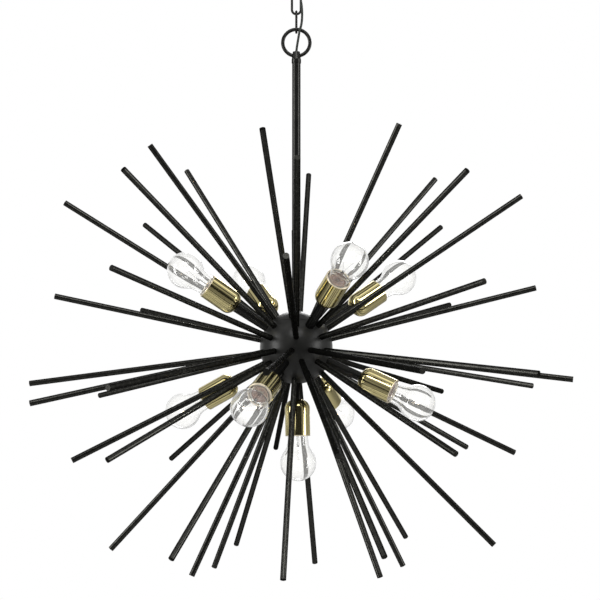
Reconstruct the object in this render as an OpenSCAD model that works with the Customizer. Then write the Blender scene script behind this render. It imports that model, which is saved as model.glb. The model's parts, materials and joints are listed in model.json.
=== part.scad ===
// Burst pendant light: a ball hub with 54 rods and nine clear bulbs, hung on a stem, a ring and a
// short chain from a ceiling canopy. Millimetres. The origin is on the ceiling, +Z is up, and the
// side that faces the viewer is -Y.

/* [Ceiling mount] */
// Length of the crossbar
crossbar_length = 118; // [114:1:120]
// Width of the crossbar
crossbar_width = 22; // [18:1:26]
// Thickness of the crossbar
crossbar_t = 2.5; // [1.5:0.5:4]
// Diameter of the wire hole in the middle of the crossbar
crossbar_hole_d = 12; // [8:1:14]
// Distance between the two box screws
box_screw_spacing = 79.4; // [76:0.1:84]
// End-to-end length of each box screw slot
slot_length = 14.2; // [10:0.1:15]
// Width of each box screw slot
slot_width = 4.6; // [4:0.1:5.5]
// Distance between the two canopy studs
stud_spacing = 106; // [104:1:108]
// Thread diameter of the canopy studs
stud_d = 4; // [3:0.5:5]
// Thickness of the studs' lock nuts
stud_nut_t = 3; // [2:0.5:4]
// Width across flats of the studs' lock nuts
stud_nut_af = 7; // [6.5:0.5:9]
// Outer diameter of the canopy
canopy_d = 127; // [125:1:150]
// Height of the canopy
canopy_height = 26; // [24:1:40]
// Wall thickness of the canopy
canopy_wall = 1; // [0.8:0.1:1.5]
// Rounding of the canopy's lower edge
canopy_edge = 6; // [2:0.5:6.5]
// Diameter of the ball nuts under the canopy
ball_nut_d = 10; // [8:0.5:12]
// How far a stud reaches into its ball nut
ball_nut_thread = 6; // [4:0.5:7]

/* [Canopy loop] */
// Outer diameter of the loop's ring
loop_d = 34; // [30:1:44]
// Wire diameter of the loop's ring
loop_wire = 5; // [4:0.5:6]
// Diameter of the flange that presses on the canopy
loop_flange_d = 24; // [20:1:40]
// Thickness of that flange
loop_flange_t = 4; // [3:0.5:6]
// Diameter of the loop's neck where it leaves the flange
loop_neck_d = 18; // [14:1:20]
// Diameter of the loop's neck at its lower end
loop_neck_tip_d = 11; // [9:0.5:13]
// Height of the loop's neck
loop_neck_h = 6; // [5:0.5:8]
// Depth of the thread in the loop
loop_thread = 5; // [4:0.5:6]

/* [Chain] */
// Outer length of a chain link
link_length = 40; // [34:1:60]
// Outer width of a chain link
link_width = 19; // [18:0.5:26]
// Wire diameter of a chain link
link_wire = 4; // [3:0.5:4]
// Play between two links that hang in each other
link_play = 0.2; // [0.2:0.05:0.5]

/* [Hanging ring and stem] */
// Outer diameter of the hanging ring
ring_d = 52; // [44:1:64]
// Wire diameter of the hanging ring
ring_wire = 6; // [4.5:0.5:6]
// From the middle of the ring's lowest wire down to the foot of its neck
ring_neck_drop = 5.8; // [5:0.1:7]
// Height of the ring's neck
ring_neck_h = 13; // [11:0.5:14]
// Diameter of the neck's foot
ring_neck_d = 15.6; // [14:0.2:18]
// Diameter of the neck's top
ring_neck_tip_d = 12; // [9:0.5:14]
// Diameter of the collar under the ring
collar_d = 16; // [14.5:0.5:20]
// Height of the collar
collar_h = 6.5; // [4:0.5:10]
// Outer diameter of the stem
stem_d = 14.3; // [13:0.1:16]
// Length of the stem
stem_length = 422; // [150:1:900]

/* [Threaded pipe] */
// Thread diameter of all hollow nipples
pipe_d = 10; // [9:0.1:10.2]
// Wire bore of all hollow nipples
pipe_bore_d = 7; // [6:0.5:7.5]
// Play round each thread and each turned spigot, on the radius
thread_fit = 0.05; // [0.02:0.01:0.1]
// Width across flats of the pipe nuts
pipe_nut_af = 14; // [13:0.5:14]
// Thickness of the pipe nuts
pipe_nut_t = 3.5; // [2.5:0.5:4]
// How far a nipple reaches into each end of the stem
stem_thread = 12; // [8:1:16]
// How far the upper nipple reaches into the ring's neck
ring_thread = 5.5; // [4:0.5:6]
// How far the loop's nipple stands above its nut
loop_nipple_rise = 8; // [4:1:10]

/* [Hub] */
// Diameter of the ball hub
hub_d = 121; // [118:1:140]
// Wall thickness of the ball
hub_wall = 4; // [3:0.5:5]
// Height of the seam above the ball's middle
seam_rise = 43; // [42:0.5:44]
// Width of the seam's groove
seam_gap = 0.5; // [0.3:0.1:1]
// Thickness of the lip under the seam
lip_t = 3.5; // [2.5:0.5:4.5]
// Diameter of the opening inside the lip
lip_opening_d = 48; // [44:1:50]
// Outer diameter of the lip's raised seat
lip_seat_d = 76; // [75:0.5:78]
// Wall thickness of the cap's spigot ring
spigot_t = 2.8; // [2:0.2:4]
// Play round the spigot ring in the lip's opening, on the radius
spigot_play = 0.2; // [0.1:0.05:0.5]
// How deep the spigot ring reaches below the top of the lip
spigot_depth = 3; // [2:0.5:3.5]
// Length of the bridge bar under the lip
bridge_length = 60; // [56:1:66]
// Width of the bridge bar
bridge_width = 16; // [14:1:20]
// Thickness of the bridge bar
bridge_t = 3; // [2:0.5:4]
// Diameter of the terminal block in the hub
block_d = 30; // [24:1:32]
// Height of the terminal block
block_h = 26; // [25:1:28]

/* [Rods] */
// Diameter of the rods
rod_d = 9.5; // [8:0.5:10]
// From the ball's middle to the tip of a long rod
long_reach = 457; // [300:1:500]
// From the ball's middle to the tip of a short rod
short_reach = 412; // [280:1:460]
// Diameter of the threaded stud on a rod's foot
rod_stud_d = 4; // [3:0.5:4]
// Length of that stud
rod_stud_length = 3.6; // [2.5:0.1:4]
// Lean of the whole spray on its stem, right side up, in degrees
spray_lean = 1; // [0:0.5:1.5]

/* [Lamp arms and cups] */
// Diameter of the arm tubes
arm_d = 15.5; // [13:0.5:17]
// Length of the eight side arms
side_arm = 61; // [55:1:90]
// Length of the arm that points down
bottom_arm = 26; // [20:1:60]
// Latitude of the four upper lamps on the ball, in degrees
upper_lamp_lat = 33; // [31:0.5:33.5]
// Direction of the first upper lamp, in degrees from the right
upper_lamp_az = 66.5; // [62:0.5:70]
// Latitude of the lower ring, which holds four lamps and eight rods
lower_ring_lat = -26; // [-28:1:-24]
// Direction of the first lower lamp
lower_ring_az = 21; // [18:1:24]
// Outer diameter of a socket cup
cup_d = 41.5; // [39:0.5:44]
// Length of a socket cup
cup_length = 60.4; // [57:0.1:64]
// Wall thickness of a socket cup
cup_wall = 1.2; // [0.8:0.1:1.5]
// Rounding of the cup's closed end
cup_dome = 15; // [8:0.5:15]
// Radius of the rolled rim
cup_bead = 1.3; // [0.8:0.1:1.4]

/* [Lampholder] */
// Outer diameter of the lampholder
holder_d = 33; // [32:0.5:35]
// Length of the lampholder
holder_length = 42; // [40:1:44]
// From the cup's closed end to the back of the lampholder
holder_set = 12; // [10:0.5:13]
// Depth of the lampholder's cavity
cavity_depth = 30; // [28:0.5:31]
// Diameter of the ring round the lampholder's mouth
mouth_ring_d = 34; // [33.5:0.5:35]
// How far that ring stands out of the lampholder
mouth_ring_h = 3; // [2:0.5:3.5]
// Wall thickness of that ring
mouth_ring_t = 1.2; // [1:0.1:1.5]
// How far the arm's nipple reaches into the lampholder
holder_thread = 8; // [6:0.5:10]
// Wall thickness of the threaded shell
shell_t = 0.6; // [0.4:0.1:0.8]
// Length of the threaded shell
shell_length = 25; // [20:1:26]
// Diameter of the centre contact
contact_d = 7; // [6:0.5:9]
// Thickness of the centre contact
contact_t = 1; // [0.5:0.25:1.5]
// Diameter of a lamp's lead
lead_d = 3; // [2:0.5:4]

/* [Bulb] */
// Largest diameter of the glass
bulb_d = 60; // [54:1:64]
// Length of the bulb from contact to crown
bulb_length = 109.1; // [104:0.1:120]
// Diameter of the screw cap
cap_d = 26.2; // [25.6:0.1:26.6]
// Length of the screw cap
cap_length = 26; // [24:0.5:27]
// Sheet thickness of the screw cap
cap_t = 0.3; // [0.2:0.1:0.5]
// Thickness of the glass
glass_t = 0.8; // [0.5:0.1:1.2]
// How far the glass's ball reaches below its middle, in degrees
ball_angle = 38; // [34:1:42]
// Radius of the hollow curve between the ball and the waist
waist_bend = 28; // [22:1:34]
// Slope of the waist, in degrees
waist_taper = 5; // [2:0.5:8]
// Straight length of the glass neck
neck_length = 3; // [2:0.5:4]
// Height of the curved shoulder above the neck
shoulder_h = 7.4; // [6:0.2:10]
// Play between the screw cap and the threaded shell, on the radius
cap_play = 0.3; // [0.3:0.05:0.5]
// Height of the filament above the contact
filament_rise = 79; // [70:1:84]
// Length of the filament
filament_length = 18; // [12:1:24]

/* [Cord] */
// Diameter of the supply cord
cord_d = 4; // [3:0.5:4]

/* [Hidden] */
$fn = 64;
lamp_count = 9;

// Play between a bulb's contact and the lampholder's contact
seat_gap = 0.3;
// Play round a screw or wire that only passes through a hole, on the radius
pass_play = 0.3;
// Solids that are joined reach this far into each other
bite = 1;
// How far a flat seat shows round what stands on it
seat_margin = 0.6;
// Play between pieces that touch all round without a thread
snug = 0.1;
// How far a nipple stands out of its nut
nipple_end = 0.5;
// Steps in a quarter of a rounded profile
arc_steps = 10;

// Heights, worked down from the ceiling
pipe_r = pipe_d / 2;
thread_r = pipe_r + thread_fit;
nut_corner_r = pipe_nut_af / 2 / cos(30);
loop_ring_r = (loop_d - loop_wire) / 2;
loop_z = -canopy_height - loop_thread - loop_ring_r;
hinge_1_z = loop_z - loop_ring_r;
link_span = link_length - link_wire;
link_1_top = hinge_1_z + loop_wire / 2 + link_wire / 2 + link_play;
hinge_2_z = link_1_top - link_span;
link_2_top = hinge_2_z + link_wire + link_play;
hinge_3_z = link_2_top - link_span;
link_3_top = hinge_3_z + link_wire + link_play;
hinge_4_z = link_3_top - link_span;
ring_r = (ring_d - ring_wire) / 2;
ring_z = hinge_4_z + link_wire / 2 + ring_wire / 2 + link_play - ring_r;
neck_z = ring_z - ring_r - ring_neck_drop;
stem_top_z = neck_z - collar_h;
stem_foot_z = stem_top_z - stem_length;

// The ball hub: its cap ends in a flat that the stem stands on
hub_r = hub_d / 2;
hub_inner_r = hub_r - hub_wall;
stem_seat_r = stem_d / 2 + seat_margin;
stem_seat_rise = sqrt(hub_r * hub_r - stem_seat_r * stem_seat_r);
hub_z = stem_foot_z - stem_seat_rise;
cap_rise = seam_rise + seam_gap;
lip_rise = cap_rise - lip_t - seam_gap;
spigot_r = lip_opening_d / 2 - spigot_play;
nut_seat_r = sqrt(hub_inner_r * hub_inner_r - nut_corner_r * nut_corner_r) - thread_fit;

// Lamps: latitude, direction and distance of the cup from the ball's middle
// Each side lamp stands a few degrees off its place in the ring: turn and rise
lamp_leans = [[-3.5, 0], [7, 1], [-3, 2], [2.5, -0.5], [-3.5, 0.5], [0.5, -1.5], [-4.5, -0.5], [0, -2]];
side_lamps = concat(
    [for (k = [0 : 3]) [upper_lamp_lat, upper_lamp_az + 90 * k]],
    [for (k = [0 : 3]) [lower_ring_lat, lower_ring_az + 90 * k]]);
lamps = concat(
    [for (i = [0 : len(side_lamps) - 1])
        [side_lamps[i][0] + lamp_leans[i][1], side_lamps[i][1] + lamp_leans[i][0], hub_r + side_arm]],
    [[-90, 0, hub_r + bottom_arm]]);

// Heights along a lamp, from the cup's closed end
cup_r = cup_d / 2;
cup_flat_r = cup_r - cup_dome;
pad_margin = 0.2;
pad_rise = 0.05;
cup_pad_r = nut_corner_r + pad_margin;
cup_pad_h = cup_dome - sqrt(pow(cup_dome - cup_wall, 2) - pow(max(0, cup_pad_r - cup_flat_r), 2)) + pad_rise;
floor_set = holder_set + holder_length - cavity_depth;
shell_r = cap_d / 2 + cap_play + shell_t;
cavity_r = shell_r + thread_fit;
bulb_set = floor_set + contact_t + seat_gap;

// Heights along a bulb, from its contact
bulb_r = bulb_d / 2;
bulb_mid = bulb_length - bulb_r;
neck_r = cap_d / 2 - cap_t - snug;
neck_tuck = 1.3;
glass_foot = cap_length - neck_tuck;
shoulder_foot = glass_foot + neck_length;
shoulder_top = shoulder_foot + shoulder_h;
waist_x = (bulb_r + waist_bend) * cos(ball_angle);
waist_z = bulb_mid - (bulb_r + waist_bend) * sin(ball_angle);
waist_rise = waist_z + waist_bend * sin(waist_taper) - shoulder_top;
shoulder_r = waist_x - waist_bend * cos(waist_taper) - waist_rise * tan(waist_taper);

// Rings of rods from the top: ring number, latitude, first direction, places
rod_stud_r = rod_stud_d / 2;
cap_ring = [1, 53, 40, 6];
shoulder_ring = [2, 33, -1, 8];
upper_ring = [3, 13, 0, 8];
middle_ring = [4, -8, 7, 12];
lower_ring = [5, lower_ring_lat, lower_ring_az, 12];
skirt_ring = [6, -46, 7, 6];
foot_ring = [7, -63, 38, 6];

// Rods that stand a few degrees off their true direction, as on the real light:
// ring number, place in the ring, turn and rise in whole degrees
leaning_rods = [
    [1, 0, 2, 4], [1, 1, 0, -3], [1, 4, -4, 1], [1, 5, -8, -7],
    [2, 1, 4, -1], [2, 3, -2, 1], [2, 6, 1, 0], [2, 7, 0, -2],
    [3, 1, 1, -3], [3, 2, 2, 2], [3, 3, -2, 2],
    [4, 3, -2, 0], [4, 4, 0, -2], [4, 5, 1, -4], [4, 6, -1, 2],
    [5, 8, 3, 3], [5, 10, 3, 2],
    [6, 4, 1, -2], [7, 0, 10, -1]];

// Route of the supply cord between the ring's neck and the loop's neck, beside the chain
cord_r = cord_d / 2;
cord_foot_z = hub_z + block_h / 2;
cord_head_z = -10;
cord_step = 12;
cord_free = [
    [0, 0, -189], [0.6, -0.6, -183], [1.8, -2, -175], [3.2, -3.7, -167], [4.4, -4.9, -160],
    [5.6, -5.5, -153], [7.4, -5.6, -147], [8.6, -5.5, -142], [9.4, -5.4, -135],
    [9.8, -5.3, -128], [9.7, -5.3, -120], [9.2, -5.2, -112], [8.2, -5.2, -104],
    [6.8, -5.2, -96], [5.8, -5.2, -88], [5.4, -5.2, -80], [5.2, -5.2, -72], [5.2, -5.2, -64],
    [5, -5.2, -57], [3.9, -4.2, -51], [2.2, -2.5, -45], [0.8, -1, -40], [0, 0, -35]];

// Points of an arc round a centre, from one angle to another
function arc(x, y, r, from, to, steps) =
    [for (i = [0 : steps]) let (a = from + (to - from) * i / steps) [x + r * cos(a), y + r * sin(a)]];
function backwards(list) = [for (i = [len(list) - 1 : -1 : 0]) list[i]];
function after_first(list) = [for (i = [1 : len(list) - 1]) list[i]];
function unit(v) = v / norm(v);

// Direction on the ball: latitude upwards, azimuth from the right towards the viewer
function on_ball(lat, az) = [cos(lat) * cos(az), -cos(lat) * sin(az), sin(lat)];
function lean_of(ring, k) = [for (l = leaning_rods) if (l[0] == ring[0] && l[1] == k) [l[2], l[3]]];

module at_hub() {
    translate([0, 0, hub_z]) children();
}

// The spray: everything that points out of the ball leans with it
module at_spray() {
    at_hub() rotate([0, -spray_lean, 0]) children();
}

// Stands the children's +Z along a direction
module aim(lat, az) {
    rotate([0, 90 - lat, -az]) children();
}

// Children along a lamp's axis, from the cup's closed end
module at_lamp(i) {
    at_spray() aim(lamps[i][0], lamps[i][1]) translate([0, 0, lamps[i][2]]) children();
}

module at_lamps() {
    for (i = [0 : lamp_count - 1]) at_lamp(i) children();
}

// Children on a rod's foot, +Z along the rod
module at_rod(ring, k) {
    lat = ring[1];
    az = ring[2] + 360 / ring[3] * k;
    found = lean_of(ring, k);
    lean = len(found) > 0 ? found[0] : [0, 0];
    at_spray() translate(hub_r * on_ball(lat, az)) aim(lat + lean[1], az + lean[0]) children();
}

module at_ring(ring) {
    for (k = [0 : ring[3] - 1]) at_rod(ring, k) children();
}

// Every third place of the lower ring is a lamp's
module at_lower_rods() {
    for (k = [0 : lower_ring[3] - 1]) if (k % 3 != 0) at_rod(lower_ring, k) children();
}

module tube(outer_r, inner_r, h) {
    difference() {
        cylinder(r = outer_r, h = h);
        translate([0, 0, -bite]) cylinder(r = inner_r, h = h + 2 * bite);
    }
}

module wire_ring(centre_r, wire_d) {
    rotate([90, 0, 0]) rotate_extrude() translate([centre_r, 0]) circle(d = wire_d);
}

module hex_nut(af, bore_r, h) {
    difference() {
        cylinder(d = af / cos(30), h = h, $fn = 6);
        translate([0, 0, -bite]) cylinder(r = bore_r, h = h + 2 * bite);
    }
}

module pipe_nut() {
    hex_nut(pipe_nut_af, thread_r, pipe_nut_t);
}

module pair(spacing) {
    for (x = [-spacing / 2, spacing / 2]) translate([x, 0, 0]) children();
}

module crossbar() {
    color("silver") translate([0, 0, -crossbar_t]) difference() {
        translate([-crossbar_length / 2, -crossbar_width / 2, 0])
            cube([crossbar_length, crossbar_width, crossbar_t]);
        translate([0, 0, -bite]) {
            cylinder(d = crossbar_hole_d, h = crossbar_t + 2 * bite);
            pair(stud_spacing) cylinder(r = stud_d / 2 + thread_fit, h = crossbar_t + 2 * bite);
            pair(box_screw_spacing) slot();
        }
    }
}

module slot() {
    straight = slot_length - slot_width;
    cut = crossbar_t + 2 * bite;
    pair(straight) cylinder(d = slot_width, h = cut);
    translate([-straight / 2, -slot_width / 2, 0]) cube([straight, slot_width, cut]);
}

module crossbar_studs() {
    length = canopy_height + ball_nut_thread;
    color("silver") translate([0, 0, -length]) pair(stud_spacing) cylinder(d = stud_d, h = length);
}

module stud_locknuts() {
    color("silver") translate([0, 0, -crossbar_t - stud_nut_t]) pair(stud_spacing)
        hex_nut(stud_nut_af, stud_d / 2 + thread_fit, stud_nut_t);
}

module canopy() {
    r = canopy_d / 2;
    hole_r = thread_r;
    turn_z = canopy_edge - canopy_height;
    edge = arc(r - canopy_edge, turn_z, canopy_edge, 0, -90, arc_steps);
    inside = arc(r - canopy_edge, turn_z, canopy_edge - canopy_wall, -90, 0, arc_steps);
    color([0.12, 0.12, 0.12]) difference() {
        rotate_extrude() polygon(concat([[r, 0]], edge, [[hole_r, -canopy_height]],
            [[hole_r, canopy_wall - canopy_height]], inside, [[r - canopy_wall, 0]]));
        translate([0, 0, -canopy_height - bite]) pair(stud_spacing)
            cylinder(r = stud_d / 2 + pass_play, h = canopy_wall + 2 * bite);
    }
}

// A ball on a short neck, with a blind thread for its stud
module ball_nuts() {
    neck_d = 8.4;
    neck_t = 2.5;
    neck_in_ball = 1.5;
    ball_drop = neck_t - neck_in_ball + ball_nut_d / 2;
    color([0.12, 0.12, 0.12]) translate([0, 0, -canopy_height]) pair(stud_spacing) difference() {
        union() {
            translate([0, 0, -neck_t]) cylinder(d = neck_d, h = neck_t);
            translate([0, 0, -ball_drop]) sphere(d = ball_nut_d);
        }
        translate([0, 0, -ball_nut_thread - bite])
            cylinder(r = stud_d / 2 + thread_fit, h = ball_nut_thread + 2 * bite);
        cylinder(d = ball_nut_d, h = ball_nut_d);
    }
}

module canopy_loop() {
    neck_z = -canopy_height - loop_flange_t - loop_neck_h;
    color([0.12, 0.12, 0.12]) difference() {
        union() {
            translate([0, 0, -canopy_height - loop_flange_t]) cylinder(d = loop_flange_d, h = loop_flange_t);
            translate([0, 0, neck_z]) cylinder(d1 = loop_neck_tip_d, d2 = loop_neck_d, h = loop_neck_h);
            translate([0, 0, loop_z]) wire_ring(loop_ring_r, loop_wire);
        }
        translate([0, 0, -canopy_height - loop_thread - seat_gap])
            cylinder(r = thread_r, h = loop_thread + seat_gap + bite);
        translate([0, 0, neck_z - bite]) cylinder(r = cord_r + 2 * pass_play, h = loop_neck_h + 2 * bite);
    }
}

module loop_nipple() {
    foot_z = -canopy_height - loop_thread;
    top_z = canopy_wall - canopy_height + pipe_nut_t + loop_nipple_rise;
    color("silver") translate([0, 0, foot_z]) tube(pipe_r, pipe_bore_d / 2, top_z - foot_z);
}

module loop_nut() {
    color("silver") translate([0, 0, canopy_wall - canopy_height]) pipe_nut();
}

// Three twist-on connectors that lie on the canopy's floor, each on a conductor from the cord's end
module ceiling_splices() {
    mouth_r = 4.5;
    tip_r = 3;
    length = 18;
    conductor_d = 1.2;
    start = 1.3;
    out = 24;
    mouth_z = canopy_wall - canopy_height + mouth_r + pass_play;
    start_z = cord_head_z + conductor_d + pass_play;
    run = out - start;
    drop = start_z - mouth_z;
    color("orange") for (turn = [-60, 0, 60]) rotate([0, 0, turn]) {
        translate([0, -start, start_z]) rotate([90 + atan2(drop, run), 0, 0])
            cylinder(d = conductor_d, h = norm([drop, run]) + bite);
        translate([0, -out, mouth_z]) rotate([90, 0, 0]) cylinder(r1 = mouth_r, r2 = tip_r, h = length);
    }
}

// A chain link in the XZ plane, its top wire's middle at the origin
module chain_link() {
    bend_r = (link_width - link_wire) / 2;
    leg = link_length - link_width;
    translate([0, 0, -bend_r]) link_bend(bend_r);
    translate([0, 0, -bend_r - leg]) {
        mirror([0, 0, 1]) link_bend(bend_r);
        pair(2 * bend_r) cylinder(d = link_wire, h = leg);
    }
}

module link_bend(bend_r) {
    rotate([90, 0, 0]) rotate_extrude(angle = 180) translate([bend_r, 0]) circle(d = link_wire);
}

module link_1() {
    color([0.12, 0.12, 0.12]) translate([0, 0, link_1_top]) rotate([0, 0, 90]) chain_link();
}

module link_2() {
    color([0.12, 0.12, 0.12]) translate([0, 0, link_2_top]) chain_link();
}

module link_3() {
    color([0.12, 0.12, 0.12]) translate([0, 0, link_3_top]) rotate([0, 0, 90]) chain_link();
}

// One tube swept along the cord's whole route, from the terminal block to the splices
module supply_cord() {
    sides = 8;
    first = cord_free[0];
    last = cord_free[len(cord_free) - 1];
    below = ceil((first[2] - cord_foot_z) / cord_step);
    above = ceil((cord_head_z - last[2]) / cord_step);
    route = concat(
        [for (i = [0 : below - 1]) [0, 0, cord_foot_z + (first[2] - cord_foot_z) * i / below]],
        cord_free,
        [for (i = [1 : above]) [0, 0, last[2] + (cord_head_z - last[2]) * i / above]]);
    n = len(route);
    points = [for (i = [0 : n - 1]) let (
            along = i == 0 || i == n - 1 ? [0, 0, 1] : unit(route[i + 1] - route[i - 1]),
            u = unit(cross([0, 1, 0], along)), v = cross(along, u))
        for (j = [0 : sides - 1]) let (a = 360 * j / sides) route[i] + cord_r * (cos(a) * u + sin(a) * v)];
    walls = [for (i = [0 : n - 2], j = [0 : sides - 1]) let (
            a = i * sides + j, b = i * sides + (j + 1) % sides)
        each [[a, a + sides, b + sides], [a, b + sides, b]]];
    foot = [[for (j = [0 : sides - 1]) j]];
    head = [[for (j = [sides - 1 : -1 : 0]) (n - 1) * sides + j]];
    color([0.2, 0.22, 0.2]) polyhedron(points = points, faces = concat(walls, foot, head));
}

module hanging_ring() {
    color([0.12, 0.12, 0.12]) difference() {
        union() {
            translate([0, 0, ring_z]) wire_ring(ring_r, ring_wire);
            translate([0, 0, neck_z]) cylinder(d1 = ring_neck_d, d2 = ring_neck_tip_d, h = ring_neck_h);
        }
        translate([0, 0, neck_z - bite]) cylinder(r = thread_r, h = ring_thread + seat_gap + bite);
        translate([0, 0, neck_z]) cylinder(r = cord_r + 2 * pass_play, h = ring_neck_h + bite);
    }
}

module ring_collar() {
    color([0.12, 0.12, 0.12]) translate([0, 0, stem_top_z]) tube(collar_d / 2, thread_r, collar_h);
}

module stem() {
    color([0.12, 0.12, 0.12]) translate([0, 0, stem_foot_z]) tube(stem_d / 2, thread_r, stem_length);
}

// The upper nipple joins stem, collar and ring, the lower one stem, cap and bridge bar
module stem_nipples() {
    upper_foot = stem_top_z - stem_thread;
    upper_length = stem_thread + collar_h + ring_thread;
    lower_foot = hub_z + bridge_foot() - 2 * pipe_nut_t;
    color("silver") {
        translate([0, 0, upper_foot]) tube(pipe_r, pipe_bore_d / 2, upper_length);
        translate([0, 0, lower_foot])
            tube(pipe_r, pipe_bore_d / 2, stem_foot_z + stem_thread - lower_foot);
    }
}

function bridge_foot() = lip_rise - bridge_t;

module hub_bridge() {
    color("silver") at_hub() translate([0, 0, bridge_foot()]) difference() {
        translate([-bridge_length / 2, -bridge_width / 2, 0]) cube([bridge_length, bridge_width, bridge_t]);
        translate([0, 0, -bite]) cylinder(r = thread_r, h = bridge_t + 2 * bite);
    }
}

// The locknut under the bridge bar, and two nuts on each arm's nipple
module pipe_nuts() {
    color("silver") {
        at_hub() translate([0, 0, bridge_foot() - pipe_nut_t]) pipe_nut();
        for (lamp = lamps) at_spray() aim(lamp[0], lamp[1]) {
            translate([0, 0, nut_seat_r - pipe_nut_t]) pipe_nut();
            translate([0, 0, lamp[2] + cup_pad_h]) pipe_nut();
        }
    }
}

module rod_hole() {
    translate([0, 0, -hub_wall - bite]) cylinder(r = rod_stud_r + thread_fit, h = hub_wall + 2 * bite);
}

// Ball below the seam, with the lip that the cap and the bridge bar clamp between them
module hub_body() {
    color([0.12, 0.12, 0.12]) difference() {
        at_hub() union() {
            difference() {
                sphere(r = hub_r);
                sphere(r = hub_inner_r);
                translate([-hub_d, -hub_d, seam_rise]) cube(2 * hub_d);
            }
            difference() {
                union() {
                    intersection() {
                        sphere(r = hub_inner_r + hub_wall / 2);
                        translate([0, 0, lip_rise]) cylinder(r = hub_r, h = seam_rise - lip_rise);
                    }
                    translate([0, 0, lip_rise]) cylinder(d = lip_seat_d, h = cap_rise - lip_rise);
                }
                translate([0, 0, lip_rise - bite]) cylinder(d = lip_opening_d, h = lip_t + 3 * bite);
            }
        }
        at_ring(upper_ring) rod_hole();
        at_ring(shoulder_ring) rod_hole();
        at_ring(middle_ring) rod_hole();
        at_lower_rods() rod_hole();
        at_ring(skirt_ring) rod_hole();
        at_ring(foot_ring) rod_hole();
        for (lamp = lamps) at_spray() aim(lamp[0], lamp[1]) translate([0, 0, hub_inner_r - bite])
            cylinder(r = thread_r, h = hub_wall + 2 * bite);
    }
}

// Ball above the seam: a dome with a flat for the stem and a spigot that centres it in the lip
module hub_cap() {
    color([0.12, 0.12, 0.12]) difference() {
        at_hub() union() {
            difference() {
                sphere(r = hub_r);
                sphere(r = hub_inner_r);
                translate([-hub_d, -hub_d, cap_rise - 2 * hub_d]) cube(2 * hub_d);
                translate([-hub_d, -hub_d, stem_seat_rise]) cube(2 * hub_d);
            }
            intersection() {
                sphere(r = hub_inner_r + hub_wall / 2);
                translate([0, 0, cap_rise - spigot_depth]) tube(spigot_r, spigot_r - spigot_t, hub_r);
            }
        }
        at_hub() cylinder(r = thread_r, h = hub_d);
        at_ring(cap_ring) rod_hole();
    }
}

module rod_shape(reach) {
    translate([0, 0, -bite]) cylinder(d = rod_d, h = reach - hub_r + bite);
}

module rod_stud() {
    translate([0, 0, -rod_stud_length]) cylinder(r = rod_stud_r, h = rod_stud_length + bite);
}

// Rods are solid bar; each foot is hollowed to sit on the ball and has a turned stud
module cap_rods() {
    color([0.12, 0.12, 0.12]) {
        difference() {
            at_ring(cap_ring) rod_shape(short_reach);
            at_hub() sphere(r = hub_r);
        }
        at_ring(cap_ring) rod_stud();
    }
}

module short_rods() {
    color([0.12, 0.12, 0.12]) {
        difference() {
            union() {
                at_ring(upper_ring) rod_shape(short_reach);
                at_lower_rods() rod_shape(short_reach);
                at_ring(foot_ring) rod_shape(short_reach);
            }
            at_hub() sphere(r = hub_r);
        }
        at_ring(upper_ring) rod_stud();
        at_lower_rods() rod_stud();
        at_ring(foot_ring) rod_stud();
    }
}

module long_rods() {
    color([0.12, 0.12, 0.12]) {
        difference() {
            union() {
                at_ring(shoulder_ring) rod_shape(long_reach);
                at_ring(middle_ring) rod_shape(long_reach);
                at_ring(skirt_ring) rod_shape(long_reach);
            }
            at_hub() sphere(r = hub_r);
        }
        at_ring(shoulder_ring) rod_stud();
        at_ring(middle_ring) rod_stud();
        at_ring(skirt_ring) rod_stud();
    }
}

module arm_tubes() {
    color([0.12, 0.12, 0.12]) difference() {
        for (lamp = lamps) at_spray() aim(lamp[0], lamp[1]) translate([0, 0, hub_r - bite])
            tube(arm_d / 2, thread_r, lamp[2] - hub_r + bite);
        at_hub() sphere(r = hub_r);
    }
}

module arm_nipples() {
    foot = nut_seat_r - pipe_nut_t - nipple_end;
    color("silver") for (lamp = lamps) at_spray() aim(lamp[0], lamp[1]) translate([0, 0, foot])
        tube(pipe_r, pipe_bore_d / 2, lamp[2] + holder_set + holder_thread - foot);
}

// Drawn cup with a domed end, a stamped pad for the nut and a rolled rim
module socket_cups() {
    outside = arc(cup_flat_r, cup_dome, cup_dome, -90, 0, arc_steps);
    inside = arc(cup_flat_r, cup_dome, cup_dome - cup_wall, 0, -90, arc_steps);
    top = cup_length - cup_bead;
    color([0.78, 0.66, 0.36]) at_lamps() {
        rotate_extrude() polygon(concat([[thread_r, 0]], outside, [[cup_r, top], [cup_r - cup_wall, top]],
            inside, [[thread_r, cup_wall]]));
        translate([0, 0, cup_wall / 2]) tube(cup_pad_r, thread_r, cup_pad_h - cup_wall / 2);
        translate([0, 0, top]) rotate_extrude() translate([cup_r - cup_bead, 0]) circle(r = cup_bead);
    }
}

module lampholders() {
    mouth = holder_set + holder_length;
    ring_r = mouth_ring_d / 2;
    color([0.72, 0.68, 0.66]) at_lamps() difference() {
        union() {
            translate([0, 0, holder_set]) cylinder(d = holder_d, h = holder_length);
            translate([0, 0, mouth - bite]) tube(ring_r, ring_r - mouth_ring_t, mouth_ring_h + bite);
        }
        translate([0, 0, holder_set - bite]) cylinder(r = thread_r, h = holder_thread + seat_gap + bite);
        translate([0, 0, holder_set]) cylinder(r = lead_d / 2 + pass_play, h = holder_length);
        translate([0, 0, floor_set]) cylinder(r = cavity_r, h = cavity_depth + bite);
    }
}

module holder_shells() {
    color("gold") at_lamps() translate([0, 0, floor_set + contact_t + seat_gap])
        tube(shell_r, shell_r - shell_t, shell_length);
}

module holder_contacts() {
    color("gold") at_lamps() translate([0, 0, floor_set]) cylinder(d = contact_d, h = contact_t);
}

module terminal_block() {
    color("white") at_hub() translate([0, 0, -block_h / 2]) cylinder(d = block_d, h = block_h);
}

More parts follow.
